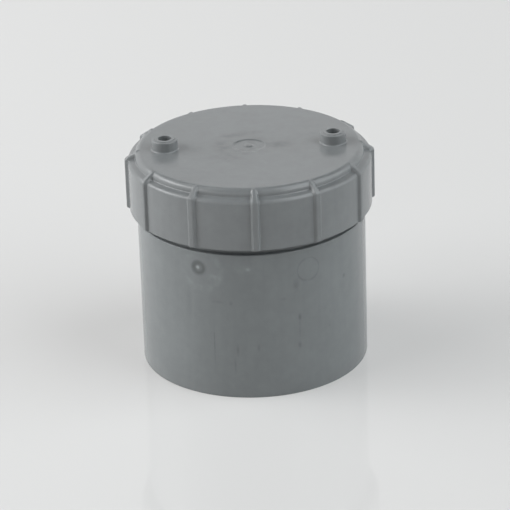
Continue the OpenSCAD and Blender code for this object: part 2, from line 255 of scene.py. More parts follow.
class AccessStageLook(bpy.types.PropertyGroup):
    floor: colour("Floor colour", "Colour of the floor", "#dadad9")
    backdrop: colour("Backdrop colour", "Colour behind the floor", "#dadada")
    floor_glow: factor("Floor glow", "Share of the floor's paleness that comes from below", 0.4)
    floor_size: length("Floor size", "Side of the square floor", 12.0)
    ambient: factor("Ambient light", "Light that comes evenly from all round", 0.15)
    walls: factor("Walls", "Brightness of the studio's walls in a gloss", 0.88)
    ceiling: factor("Ceiling", "Brightness of the studio's ceiling in a gloss", 0.06)
    left_low: power("Left low softbox", "low on the left", 16)
    left_back: power("Left back softbox", "at the back on the left", 55)
    left_mid: power("Left middle softbox", "half-way up on the left", 34)
    left_top: power("Left top softbox", "high on the left", 6)
    right_front: power("Right front softbox", "at the front on the right", 8)
    right_low: power("Right low softbox", "low on the right", 22)
    right_mid: power("Right middle softbox", "half-way up on the right", 25)
    right_top: power("Right top softbox", "high on the right", 18)
    cool: colour("Right light", "Colour of the light from the right, a little cool", "#f9fdff")


def arc(centre_r, centre_z, radius, start, end, steps):
    """Section points along a circular arc, from one angle in degrees to another."""
    points = []
    for i in range(steps + 1):
        a = math.radians(start + (end - start) * i / steps)
        points.append((centre_r + radius * math.cos(a), centre_z + radius * math.sin(a)))
    return points


def corner(r, z, radius, start, end, steps):
    """Section points that round a corner off over a quarter turn, as arc gives them."""
    middle = math.radians((start + end) / 2)
    centre_r = r - math.copysign(radius, math.cos(middle))
    centre_z = z - math.copysign(radius, math.sin(middle))
    return arc(centre_r, centre_z, radius, start, end, steps)


def at_azimuth(radius, azimuth, height):
    """The point at a radius, an angle in radians from +X and a height."""
    return Vector((radius * math.cos(azimuth), radius * math.sin(azimuth), height))


def lengths_of(path):
    """How far along an open path each of its points lies."""
    lengths = [0.0]
    for a, b in zip(path, path[1:]):
        lengths.append(lengths[-1] + math.dist(a, b))
    return lengths


def resample(path, goals):
    """Points along an open path, spread over its length as the goals are over theirs."""
    lengths = lengths_of(path)
    points = []
    for goal in [value * lengths[-1] / goals[-1] for value in goals]:
        k = 0
        while k < len(path) - 2 and lengths[k + 1] < goal:
            k += 1
        share = (goal - lengths[k]) / (lengths[k + 1] - lengths[k])
        points.append(tuple(p + (q - p) * share for p, q in zip(path[k], path[k + 1])))
    return points


def merge_close(bm):
    """Joins vertices that lie on each other."""
    bmesh.ops.remove_doubles(bm, verts=bm.verts[:], dist=SAME)


def turn_section(bm, section, azimuths, closed=False, middle=Vector((0, 0, 0))):
    """Draws a section at the first azimuth and spins it round the middle through the others."""
    verts = [bm.verts.new(middle + at_azimuth(r, azimuths[0], z)) for r, z in section]
    edges = [bm.edges.new(pair) for pair in zip(verts, verts[1:])]
    if closed:
        edges.append(bm.edges.new((verts[-1], verts[0])))
    geom = verts + edges
    for here, there in zip(azimuths, azimuths[1:]):
        geom = bmesh.ops.spin(
            bm, geom=geom, cent=middle, axis=(0, 0, 1), angle=there - here, steps=1
        )["geom_last"]


def open_edges(bm, below=math.inf):
    """The edges of the holes that are still open in a shell, below a height."""
    return [e for e in bm.edges if e.is_boundary and e.verts[0].co.z < below]


def ring_steps(radius, depth, steps):
    """Rings for round_steps, each step a distance out in millimetres and a share of the depth."""
    return [(radius + out * MM, -share * depth) for out, share in steps]


def round_steps(bm, outer_edges, rings, segments, place):
    """Fills a hole with concentric rings, each (radius, depth), and closes the last one.

    place turns the two distances across the surface and a depth into a point.
    With no outer edges the first ring is left open.
    """
    loop = outer_edges
    for radius, depth in rings:
        circle = bmesh.ops.create_circle(bm, radius=radius, segments=segments)["verts"]
        for v in circle:
            v.co = place(v.co.x, v.co.y, depth)
        edges = list({e for v in circle for e in v.link_edges})
        if loop:
            bmesh.ops.bridge_loops(bm, edges=loop + edges)
        loop = edges
    bmesh.ops.edgeloop_fill(bm, edges=loop)


def finish_mesh(bm, name):
    """Checks that a shell is closed, turns its faces outward and makes an object of it."""
    merge_close(bm)
    loose = [e for e in bm.edges if not e.is_manifold]
    if loose:
        raise RuntimeError(f"{name} has {len(loose)} open edges")
    bmesh.ops.recalc_face_normals(bm, faces=bm.faces[:])
    mesh = bpy.data.meshes.new(name)
    bm.to_mesh(mesh)
    bm.free()
    piece = bpy.data.objects.new(name, mesh)
    bpy.context.scene.collection.objects.link(piece)
    return piece


def finish_skin(piece, material):
    """Gives a piece its one material, and smooth shading that keeps flat faces flat beside
    their small roundings."""
    piece.data.materials.clear()
    piece.data.materials.append(material)
    piece.data.shade_smooth()
    piece.data.set_sharp_from_angle(angle=math.radians(CRISP_DEGREES))
    even = piece.modifiers.new("even_normals", "WEIGHTED_NORMAL")
    even.keep_sharp = True


def join_solid(piece, other):
    """Melts another closed solid into a piece, as the mould does, and removes it."""
    join = piece.modifiers.new("join", "BOOLEAN")
    join.operation = "UNION"
    join.solver = "EXACT"
    join.object = other
    bpy.context.view_layer.update()
    depsgraph = bpy.context.evaluated_depsgraph_get()
    mesh = bpy.data.meshes.new_from_object(piece.evaluated_get(depsgraph))
    mesh.name = piece.name
    piece.modifiers.clear()
    piece.data = mesh
    bpy.data.objects.remove(other)


def make_thread(name, foot_r, crest_r, band_r, first_azimuth, steps, sizes):
    """A closed helical ridge that fades in and out at its ends."""
    rise = sizes.pitch * THREAD_STEP / math.tau
    corners = (
        (foot_r, -sizes.foot_half),
        (crest_r, -sizes.crest_half),
        (crest_r, sizes.crest_half),
        (foot_r, sizes.foot_half),
    )
    bm = bmesh.new()
    layer = bm.verts.layers.int.new("corner")
    verts = []
    for k, (r, dz) in enumerate(corners):
        v = bm.verts.new(at_azimuth(r, first_azimuth, sizes.start_z + dz))
        v[layer] = k
        verts.append(v)
    edges = [bm.edges.new((verts[k], verts[(k + 1) % 4])) for k in range(4)]
    bmesh.ops.spin(
        bm, geom=verts + edges, axis=(0, 0, 1), dvec=(0, 0, rise), angle=THREAD_STEP * steps,
        steps=steps,
    )
    # It fades over about an eighth of a turn, down to a trace that the wall takes up
    fade_steps = 0.12 * math.tau / THREAD_STEP
    lowest = 0.1 * MM
    slope = (sizes.foot_half - sizes.crest_half) / abs(crest_r - foot_r)
    for v in bm.verts:
        k = v[layer]
        if k in (0, 3):
            continue
        side = -1 if k == 1 else 1
        done = (v.co.z - sizes.start_z - side * sizes.crest_half) / rise
        share = max(0, min(1, done / fade_steps, (steps - done) / fade_steps))
        height = lowest + (abs(crest_r - band_r) - lowest) * share
        r = band_r + math.copysign(height, crest_r - band_r)
        drop = abs(crest_r - r)
        azimuth = math.atan2(v.co.y, v.co.x)
        v.co = at_azimuth(r, azimuth, v.co.z + side * drop * slope)
    bmesh.ops.holes_fill(bm, edges=open_edges(bm), sides=0)
    return finish_mesh(bm, name)


def add_node(tree, kind, inputs=None, **settings):
    """Adds a node with its settings, and sets each named or numbered input or links it to a
    socket, or to the first output of a node."""
    node = tree.nodes.new(kind)
    for key, value in settings.items():
        setattr(node, key, value)
    for key, value in (inputs or {}).items():
        if isinstance(value, bpy.types.Node):
            value = value.outputs[0]
        if isinstance(value, bpy.types.NodeSocket):
            tree.links.new(value, node.inputs[key])
        else:
            node.inputs[key].default_value = value
    return node


def new_material(name):
    """A material with an empty node tree and its output."""
    material = bpy.data.materials.new(name)
    material.use_nodes = True
    tree = material.node_tree
    tree.nodes.clear()
    return material, tree


def add_marks(tree, place, tone, marks):
    """Adds soft marks to the tone, each a spot, ring or stroke round a middle: half of its size
    along X, Y and Z, how many halves out the ring lies, how broken it is and its strength."""
    # Beads about 4 mm apart, where the marks break up
    beads = add_node(
        tree, "ShaderNodeTexNoise",
        {"Vector": place, "Scale": 1 / (3.85 * MM), "Detail": 1, "Roughness": 0.5},
    )
    for middle, halves, ring, broken, strength in marks:
        off = add_node(tree, "ShaderNodeVectorMath", {0: place, 1: middle}, operation="SUBTRACT")
        off = add_node(
            tree, "ShaderNodeVectorMath", {0: off, 1: [1 / half for half in halves]},
            operation="MULTIPLY",
        )
        out = add_node(tree, "ShaderNodeVectorMath", {0: off}, operation="LENGTH").outputs["Value"]
        out = add_node(tree, "ShaderNodeMath", {0: out, 1: ring}, operation="SUBTRACT")
        out = add_node(tree, "ShaderNodeMath", {0: out}, operation="ABSOLUTE")
        share = add_node(
            tree, "ShaderNodeMapRange", {"Value": out, "To Min": strength, "To Max": 0},
            interpolation_type="SMOOTHSTEP",
        )
        gaps = add_node(
            tree, "ShaderNodeMapRange",
            {"Value": beads, "From Min": 0.42, "From Max": 0.6, "To Min": 1 - broken, "To Max": 1},
        )
        tone = add_node(
            tree, "ShaderNodeMath", {0: share, 1: gaps, 2: tone}, operation="MULTIPLY_ADD"
        )
    return tone


def moulded_upvc(name, tint, roughness, marks):
    """Injection moulded grey uPVC: an even opaque grey with a polished mould's gloss,
    faintly clouded, with long weak flow lines along the draw and a skin that is never quite flat."""
    material, tree = new_material(name)
    place = add_node(tree, "ShaderNodeTexCoord").outputs["Object"]
    stretch = add_node(
        tree, "ShaderNodeMapping", {"Vector": place, "Scale": (1 / (4 * MM), 1 / (4 * MM), 22)}
    )
    # Each pattern: where it is read, how many to the metre, its detail, roughness and share
    patterns = (
        # Clouds about 25 mm across, where the melt cooled unevenly
        (place, 1 / (25 * MM), 3, 0.55, 0.17),
        # Blotches about 5 mm across, left by handling and dust
        (place, 1 / (5.26 * MM), 3, 0.6, 0.12),
        # Flow lines along the draw, 4 mm wide and about ten times as long
        (stretch, 1, 2, 0.5, 0.08),
        # Grain 2 mm across, too fine to show at its real size of tenths of a millimetre
        (place, 1 / (2 * MM), 2, 0.5, 0.03),
        # Ripples of a few micrometres, 8 mm apart, that make the reflections waver
        (place, 1 / (8.33 * MM), 2, 0.4, 0),
    )
    noises = []
    # The shares add up so that the middle of the tone is one half
    tone = 0.3
    for where, scale, detail, roughening, share in patterns:
        noises.append(add_node(
            tree, "ShaderNodeTexNoise",
            {"Vector": where, "Scale": scale, "Detail": detail, "Roughness": roughening},
        ))
        if share:
            tone = add_node(
                tree, "ShaderNodeMath", {0: noises[-1], 1: share, 2: tone},
                operation="MULTIPLY_ADD",
            )
    clouds, ripple = noises[0], noises[-1]
    tone = add_marks(tree, place, tone, marks)
    base = add_node(tree, "ShaderNodeValToRGB", {"Fac": tone})
    # From the darkest to the palest tone, as shares of the tint
    for element, share in zip(base.color_ramp.elements, (0.4, 1.6)):
        element.color = [min(1, c * share) for c in tint] + [1]
    rough = add_node(
        tree, "ShaderNodeMapRange",
        {"Value": clouds, "From Min": 0.3, "From Max": 0.7,
         "To Min": roughness - 0.03, "To Max": roughness + 0.05},
    )
    bump = add_node(
        tree, "ShaderNodeBump", {"Height": ripple, "Strength": 0.25, "Distance": 0.05 * MM}
    )
    shader = add_node(
        tree, "ShaderNodeBsdfPrincipled",
        {"Base Color": base, "Roughness": rough, "IOR": 1.53, "Normal": bump},
    )
    add_node(tree, "ShaderNodeOutputMaterial", {"Surface": shader})
    return material


def moulded_rubber(name, tint):
    """Compression moulded EPDM rubber: nearly black, dull, with a faint dry bloom."""
    material, tree = new_material(name)
    place = add_node(tree, "ShaderNodeTexCoord").outputs["Object"]
    # Specks of bloom 5 to 6 mm apart
    bloom = add_node(
        tree, "ShaderNodeTexNoise",
        {"Vector": place, "Scale": 1 / (5.56 * MM), "Detail": 4, "Roughness": 0.6},
    )
    base = add_node(tree, "ShaderNodeValToRGB", {"Fac": bloom})
    for element, at, share in zip(base.color_ramp.elements, (0.35, 0.75), (1, 1.7)):
        element.position = at
        element.color = [c * share for c in tint] + [1]
    bump = add_node(
        tree, "ShaderNodeBump", {"Height": bloom, "Strength": 0.3, "Distance": 0.1 * MM}
    )
    shader = add_node(
        tree, "ShaderNodeBsdfPrincipled",
        {"Base Color": base, "Roughness": 0.62, "IOR": 1.52, "Normal": bump},
    )
    add_node(tree, "ShaderNodeOutputMaterial", {"Surface": shader})
    return material


class ACCESS_OT_make_body(bpy.types.Operator):
    """Makes the body: tail with gate and ejector marks, shoulder and threaded neck."""
    bl_idname = "access_cap.make_body"
    bl_label = "Make the body"

    def execute(self, context):
        s = context.scene.access_body
        t = context.scene.access_thread
        m = context.scene.access_marks
        marks = ((m.gate_at, m.gate_z), (m.ring_at, m.ring_z))
        # Rows less than a millimetre apart line up with the square windows of both marks
        row = 2 * m.window / WINDOW_STEPS
        first_row = m.ring_z - m.window
        apart = round((m.gate_z - m.ring_z) / row)
        rows = [first_row + row * i for i in range(apart + WINDOW_STEPS + 1)]
        section = corner(s.bore_r, 0, s.end_round, 180, 270, 5)
        section += corner(s.pipe_r, 0, s.end_round, 270, 360, 5)
        # A few rows down the plain tail keep its faces short
        section += [(s.pipe_r, z * MM) for z in (1.2, 10, 22, 34, 46)]
        section += [(s.pipe_r, z) for z in rows]
        section += corner(s.pipe_r, s.shoulder_z, s.shoulder_round, 0, 90, 6)
        section += corner(s.neck_r, s.shoulder_z, s.neck_fillet, 270, 180, 6)
        step = t.neck_band_r - s.neck_r
        section += [
            (s.neck_r, t.neck_low),
            (t.neck_band_r, t.neck_low + step),
            (t.neck_band_r, t.neck_high - step),
            (s.neck_r, t.neck_high),
        ]
        section += [(s.neck_r, s.rim_z - s.rim_bevel), (s.neck_r - s.rim_bevel, s.rim_z)]
        section += corner(s.neck_bore_r, s.rim_z, FINE_EDGE, 90, 180, 4)
        section += [(s.neck_bore_r, s.shoulder_z), (s.bore_r, s.shoulder_z - s.throat_h)]
        section += [(s.bore_r, 30 * MM)]
        # Columns are as close as the rows across a window, and about 2.5 degrees apart elsewhere
        half = m.window / s.pipe_r
        front = -math.pi / 2
        stops = []
        for at, z in marks:
            stops += [front + at - half, front + at + half]
        stops.append(stops[0] + math.tau)
        azimuths = [stops[0]]
        for a, b, count in zip(stops, stops[1:], (WINDOW_STEPS, 19, WINDOW_STEPS, 116)):
            azimuths += [a + (b - a) * (i + 1) / count for i in range(count)]
        bm = bmesh.new()
        turn_section(bm, section, azimuths, closed=True)
        merge_close(bm)
        dish = ((0.4, 0), (0.1, 0.1), (-0.2, 0.45), (-0.5, 0.85), (-0.9, 1))
        stub = ((0.9, 1), (0.3, 1), (0, 0.8), (0, 0.3), (-0.15, 0), (-0.45, 0))
        gate = ring_steps(m.gate_r, m.gate_depth, dish)
        gate += ring_steps(m.gate_stub_r, m.gate_depth, stub)
        ring = ring_steps(m.ring_r, m.ring_depth, ((0.1, 0), (-0.1, 0.8), (-0.25, 1)))
        ring += ring_steps(m.ring_r - m.ring_w, m.ring_depth, ((0.1, 0.8), (-0.1, 0)))
        ring += ring_steps(0, 0, ((2.6, 0), (1.2, 0)))
        for (at, z0), rings in zip(marks, (gate, ring)):
            middle = front + at

            def near(co, reach):
                turned = math.remainder(math.atan2(co.y, co.x) - middle, math.tau)
                level = abs(turned) < reach / s.pipe_r and abs(co.z - z0) < reach
                return level and math.hypot(co.x, co.y) > s.pipe_r - 0.05 * MM

            def place(u, v, depth):
                return at_azimuth(s.pipe_r + depth, middle + u / s.pipe_r, z0 + v)

            window = [f for f in bm.faces if near(f.calc_center_median(), m.window)]
            bmesh.ops.delete(bm, geom=window, context="FACES")
            round_steps(bm, open_edges(bm), rings, 4 * WINDOW_STEPS, place)
        piece = finish_mesh(bm, "access_body_moulding")
        join_solid(piece, make_thread(
            "neck_thread", t.neck_foot_r, t.neck_crest_r, t.neck_band_r, 0, t.neck_steps, t
        ))
        look = context.scene.access_plastic
        skin = self.skin_marks(s.pipe_r, m)
        finish_skin(piece, moulded_upvc("moulded_grey_upvc_body", look.body, look.gloss, skin))
        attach(piece, "body")
        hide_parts("access_body")
        return {"FINISHED"}

    def skin_marks(self, pipe_r, m):
        """The faint marks in the tail's skin, as add_marks takes them."""
        gate = (math.degrees(m.gate_at), m.gate_z / MM)
        ring = (math.degrees(m.ring_at), m.ring_z / MM)
        # Angle from the front in degrees and height in millimetres, then sizes in millimetres
        marks = (
            # The pale blush round the gate, the dark disc of the cold slug and its bright stub
            ((gate[0] + 1.5, gate[1] - 1.0), 2.6, 2.6, 3.7, 0.8, 0.11),
            (gate, 2.3, 2.3, 1.1, 0, -0.36),
            ((gate[0] - 0.6, gate[1] + 0.2), 1.5, 1.3, 0, 0, 0.75),
            ((gate[0] + 8, gate[1] - 4), 4.5, 3, 0, 0.8, 0.18),
            ((gate[0] + 1.5, gate[1] - 9.5), 5, 3, 0, 0.8, 0.13),
            # The ejector's ring
            (ring, 0.9, 0.9, 6.4, 0.5, -0.1),
            # Spots
            ((-4.3, 67.2), 1.7, 1.4, 0, 0, 0.25),
            ((-6, 67), 8, 4, 0, 0.6, 0.08),
            ((49.7, 53.2), 1.5, 1.8, 0, 0, -0.2),
            ((19.5, 56.6), 2.6, 5, 0, 0.7, -0.16),
            # Strokes along the draw, where the moulding was pulled off
            ((21.1, 40), 1.3, 2.6, 0, 0, -0.2),
            ((21.0, 34), 1.0, 8.5, 0, 0.6, -0.15),
            ((20.8, 25.4), 1.4, 2.4, 0, 0, -0.18),
            ((-22.3, 28), 0.5, 17, 0, 0.5, -0.16),
            ((-10.5, 25), 1.0, 4.5, 0, 0.2, -0.15),
            ((-12, 17), 0.9, 6, 0, 0.2, -0.12),
            ((-0.1, 26.4), 1.1, 3, 0, 0.1, -0.12),
            ((-35.5, 47.5), 2.4, 11, 0, 0.3, -0.09),
            ((38.4, 31), 1.0, 1.0, 0, 0, -0.08),
            # Scuffs across it
            ((-20, 49.8), 4.5, 1.1, 0, 0.6, -0.14),
            ((13.1, 50.7), 2.5, 1.2, 0, 0.6, -0.12),
            ((-13.2, 49.3), 1.3, 2.2, 0, 0.4, -0.12),
        )
        return [
            (at_azimuth(pipe_r, math.radians(at - 90), z * MM),
             Vector((wide, wide, high)) * MM, *rest)
            for (at, z), wide, high, *rest in marks
        ]


def cap_outer_path(c):
    """The cap's outside section, from the inner end of its lower rounding up to the flat top."""
    turn_r = c.skirt_r - c.ledge_round
    slope = math.tan(c.ledge_slope)
    turn_z = c.ledge_z - (turn_r - c.disc_r) * slope - c.ledge_round / math.cos(c.ledge_slope)
    crease_z = c.ledge_z - c.crease_round * slope + c.crease_round / math.cos(c.ledge_slope)
    tilt = math.degrees(c.ledge_slope)
    foot = corner(c.skirt_r, c.low_z, c.skirt_round, 270, 360, 12)
    upright = [(c.skirt_r, turn_z - drop * MM) for drop in (22.2, 16, 10, 4, 0.6)]
    over = arc(turn_r, turn_z, c.ledge_round, 0, 90 - tilt, 12)
    over += arc(c.disc_r + c.crease_round, crease_z, c.crease_round, 270 - tilt, 180, 6)
    over += corner(c.disc_r, c.top_z, c.disc_round, 0, 90, 14)
    return foot, upright, over


def rib_paths(c, rib, foot, upright, over):
    """The rib's crest line, with one point for each point of the cap's outside section."""
    # A rib ends a little above the skirt's lower edge
    foot_line = [foot[0]]
    foot_line += corner(rib.crest_r, c.low_z + 0.15 * MM, rib.foot_round, 270, 360, 8)
    crest_foot = resample(foot_line, lengths_of(foot))
    low = foot_line[-1][1]
    low_skirt = foot[-1][1]
    top = over[0][1]
    crest_upright = [
        (rib.crest_r, low + (z - low_skirt) * (top - low) / (top - low_skirt)) for r, z in upright
    ]
    bend = math.degrees(math.pi / 2 - rib.slope)
    line = [(rib.crest_r, top)]
    line += arc(rib.crest_r - rib.turn_round, rib.turn_z, rib.turn_round, 0, bend, 10)
    r, z = line[-1]
    tip_r = r - (rib.tip_z - z) / math.tan(rib.slope)
    line += [(tip_r, rib.tip_z), (tip_r - 0.35 * MM, rib.tip_z + 0.06 * MM)]
    # The rib ends where the disc's rounding becomes the flat top
    ends = len(over) - 2
    line.append(over[ends])
    crest_over = resample(line, lengths_of(over[:ends + 1])) + over[ends + 1:]
    return crest_foot + crest_upright + crest_over


def rib_raise(c, rib):
    """Columns across half a rib: distance from its middle and share of its full height."""
    height = rib.crest_r - c.skirt_r
    flank = math.atan2(height, rib.base_half - rib.crest_half)
    half_turn = math.tan(flank / 2)
    top = arc(
        rib.crest_half - rib.crest_round * half_turn, height - rib.crest_round, rib.crest_round,
        90, 90 - math.degrees(flank), 4,
    )
    base = arc(
        rib.base_half + rib.base_fillet * half_turn, rib.base_fillet, rib.base_fillet,
        270 - math.degrees(flank), 270, 4,
    )
    middle = [((top[-1][0] + base[0][0]) / 2, (top[-1][1] + base[0][1]) / 2)]
    columns = [(0.0, height), (rib.crest_half * 0.4, height)] + top + middle + base
    return [(t, h / height) for t, h in columns]


class ACCESS_OT_make_cap(bpy.types.Operator):
    """Makes the screw cap: skirt, ledge and raised disc with the ribs raised out of them,
    the key bosses, the gate mark, the inside thread and the lip for the seal."""
    bl_idname = "access_cap.make_cap"
    bl_label = "Make the screw cap"

    def execute(self, context):
        c = context.scene.access_cap
        rib = context.scene.access_ribs
        t = context.scene.access_thread
        m = context.scene.access_marks
        parts = cap_outer_path(c)
        # Only the rim of the flat top is turned, and the rest is filled in at the end
        flat = [(50.0 * MM, c.top_z), (51.4 * MM, c.top_z)]
        step = c.cavity_r - t.cap_band_r
        inner = [
            (c.cavity_r + c.mouth_bevel, c.low_z), (c.cavity_r, c.low_z + c.mouth_bevel),
            (c.cavity_r, t.cap_low), (t.cap_band_r, t.cap_low + step),
            (t.cap_band_r, t.cap_high - step), (c.cavity_r, t.cap_high),
        ]
        inner += corner(c.cavity_r, c.ceiling_z, FINE_EDGE, 0, 90, 4)
        inner += [(c.seat_r, c.ceiling_z), (c.seat_r, c.under_z), (c.lip_r, c.under_z)]
        inner += corner(c.lip_r, c.lip_z, FINE_EDGE, 0, -90, 4)
        inner += corner(c.lip_in_r, c.lip_z, FINE_EDGE, 270, 180, 4)
        inner += [(c.lip_in_r, c.under_z)]
        outer = [point for part in parts for point in part]
        raised = rib_raise(c, rib)
        side = [math.asin(across / c.skirt_r) for across, share in raised]
        sector = math.tau / rib.count
        plain = sector / 2 - side[-1]
        side += [side[-1] + plain * share for share in (0.1, 0.24, 0.42, 0.6, 0.8, 1.0)]
        azimuths = [-a for a in side[:0:-1]] + side
        bm = bmesh.new()
        turn_section(bm, flat + outer[::-1] + inner, azimuths)
        self.raise_rib(bm, c, rib, parts, flat, raised)
        bmesh.ops.spin(
            bm, geom=bm.verts[:] + bm.edges[:] + bm.faces[:], axis=(0, 0, 1),
            angle=math.tau - sector, steps=rib.count - 1, use_duplicate=True,
        )
        merge_close(bm)
        bmesh.ops.edgeloop_fill(bm, edges=open_edges(bm, below=c.top_z - SAME))
        self.add_bosses(bm, context.scene.access_bosses, c.top_z)
        self.add_gate_mark(bm, m, c.top_z)
        bmesh.ops.triangle_fill(bm, use_beauty=True, edges=open_edges(bm), normal=(0, 0, 1))
        piece = finish_mesh(bm, "screw_cap_moulding")
        join_solid(piece, make_thread(
            "cap_thread", t.cap_foot_r, t.cap_crest_r, t.cap_band_r, -math.pi, t.cap_steps, t
        ))
        look = context.scene.access_plastic
        skin = self.skin_marks(c.top_z)
        finish_skin(piece, moulded_upvc("moulded_grey_upvc_cap", look.cap, look.gloss, skin))
        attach(piece, "cap")
        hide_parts("screw_cap")
        return {"FINISHED"}

    def raise_rib(self, bm, c, rib, parts, flat, raised):
        """Pulls the turned wall out into one rib, and narrows the top's rim to its tip."""
        foot, upright, over = parts
        outer = foot + upright + over
        crest = rib_paths(c, rib, foot, upright, over)
        shares = {round(across / MM, 4): share for across, share in raised}
        full = rib.crest_r - c.skirt_r
        tip_r = over[-3][0]
        for v in bm.verts:
            r = math.hypot(v.co.x, v.co.y)
            across = c.skirt_r * v.co.y / r
            if abs(across) > raised[-1][0] + SAME:
                continue
            near = min(outer + flat, key=lambda p: (p[0] - r) ** 2 + (p[1] - v.co.z) ** 2)
            if math.dist(near, (r, v.co.z)) > SAME:
                continue
            z = v.co.z
            height = 0
            if near in outer:
                share = shares[min(shares, key=lambda key: abs(key - abs(across) / MM))]
                line_r, line_z = crest[outer.index(near)]
                height = math.dist(near, (line_r, line_z))
                z = near[1] + (line_z - near[1]) * share
                r = near[0] + (line_r - near[0]) * share
            # The flanks keep their slope, so the foot of a low stretch of rib is narrower
            wide = min(1, max(0.25, height / full))
            # Over the ledge they stand steeper, and the whole rib narrows to a round tip
            way_in = 0
            if near in over:
                way_in = min(1, (rib.crest_r - line_r) / (rib.crest_r - tip_r))
            wide *= 1 - (1 - rib.draft) * way_in
            beyond = max(0, abs(across) - rib.crest_half) * (wide - 1)
            across += math.copysign(beyond, across)
            across *= max(0.3, math.sqrt(1 - way_in ** 3)) * (1 - rib.taper * way_in)
            v.co = (math.sqrt(r * r - across * across), across, z)

    def skin_marks(self, top_z):
        """A darker halo and darker smudges round the gate mark in the middle of the top."""
        # Place on the top, then sizes to the right and to the back, all in millimetres
        marks = (
            ((0, 0), 17, 17, 0, 0.7, -0.18),
            ((-8, 13), 9, 5, 0, 0.4, -0.22),
            ((1, 16), 10, 4.5, 0, 0.4, -0.14),
            ((-13.5, 0), 6, 11, 0, 0.5, -0.2),
            ((14.5, -0.5), 10, 6.5, 0, 0.3, -0.24),
            ((-10, -14), 14, 11, 0, 0.5, -0.15),
        )
        return [
            (Vector((x * MM, y * MM, top_z)), Vector((wide, deep, wide)) * MM, *rest)
            for (x, y), wide, deep, *rest in marks
        ]

    def add_bosses(self, bm, b, top_z):
        """Two hollow key bosses, each turned round its own middle and left open at its foot."""
        flat_z = top_z + b.height - b.collar_h
        high_z = top_z + b.height
        bottom_z = high_z - b.hole_depth
        section = corner(b.radius, top_z, b.fillet, 270, 180, 6)
        section += corner(b.radius, flat_z, b.edge_round, 0, 90, 5)
        section += corner(b.collar_r, flat_z, b.collar_round, 270, 180, 2)
        section += corner(b.collar_r, high_z, b.collar_round, 0, 90, 3)
        section += corner(b.hole_r, high_z, b.collar_round, 90, 180, 3)
        section += [(b.hole_r, bottom_z + FINE_EDGE), (b.hole_r - FINE_EDGE, bottom_z)]
        for side in (-1, 1):
            middle = Vector((side * b.reach, 0, 0))
            turn_section(bm, section, [math.tau * i / 48 for i in range(49)], middle=middle)
            merge_close(bm)
            bmesh.ops.edgeloop_fill(bm, edges=open_edges(bm, below=top_z - SAME))

    def add_gate_mark(self, bm, m, top_z):
        """The shallow dish in the middle of the top, left open at its outer ring."""
        dish = ((0.4, 0), (0.1, 0.1143), (-0.2, 0.5), (-0.6, 0.9), (-1.0, 1))
        stub = ((2.0, 1), (0.5, 0.95), (0.2, 0.6), (0, 0.25), (-0.3, 0.1))
        rings = ring_steps(m.cap_gate_r, m.cap_gate_depth, dish)
        rings += ring_steps(m.cap_stub_r, m.cap_gate_depth, stub)
        rings += ring_steps(0, m.cap_gate_depth, ((0.4, 0.08),))
        round_steps(bm, [], rings, 64, lambda u, v, depth: Vector((u, v, top_z + depth)))


class ACCESS_OT_make_seal(bpy.types.Operator):
    """Makes the rubber seal ring that sits under the top, round the lip."""
    bl_idname = "access_cap.make_seal"
    bl_label = "Make the seal ring"

    def execute(self, context):
        s = context.scene.access_seal
        low, high = SEAL_LOW.z, SEAL_HIGH.z
        section = corner(s.inner_r, low, s.low_round, 180, 270, 6)
        section += corner(s.outer_r, low, s.low_round, 270, 360, 6)
        section += corner(s.outer_r, high, s.top_round, 0, 90, 3)
        section += corner(s.inner_r, high, s.top_round, 90, 180, 3)
        bm = bmesh.new()
        turn_section(bm, section, [math.tau * i / 144 for i in range(145)], closed=True)
        piece = finish_mesh(bm, "seal_ring_rubber")
        tint = context.scene.access_plastic.rubber
        finish_skin(piece, moulded_rubber("moulded_black_rubber", tint))
        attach(piece, "seal")
        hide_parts("seal_ring")
        return {"FINISHED"}


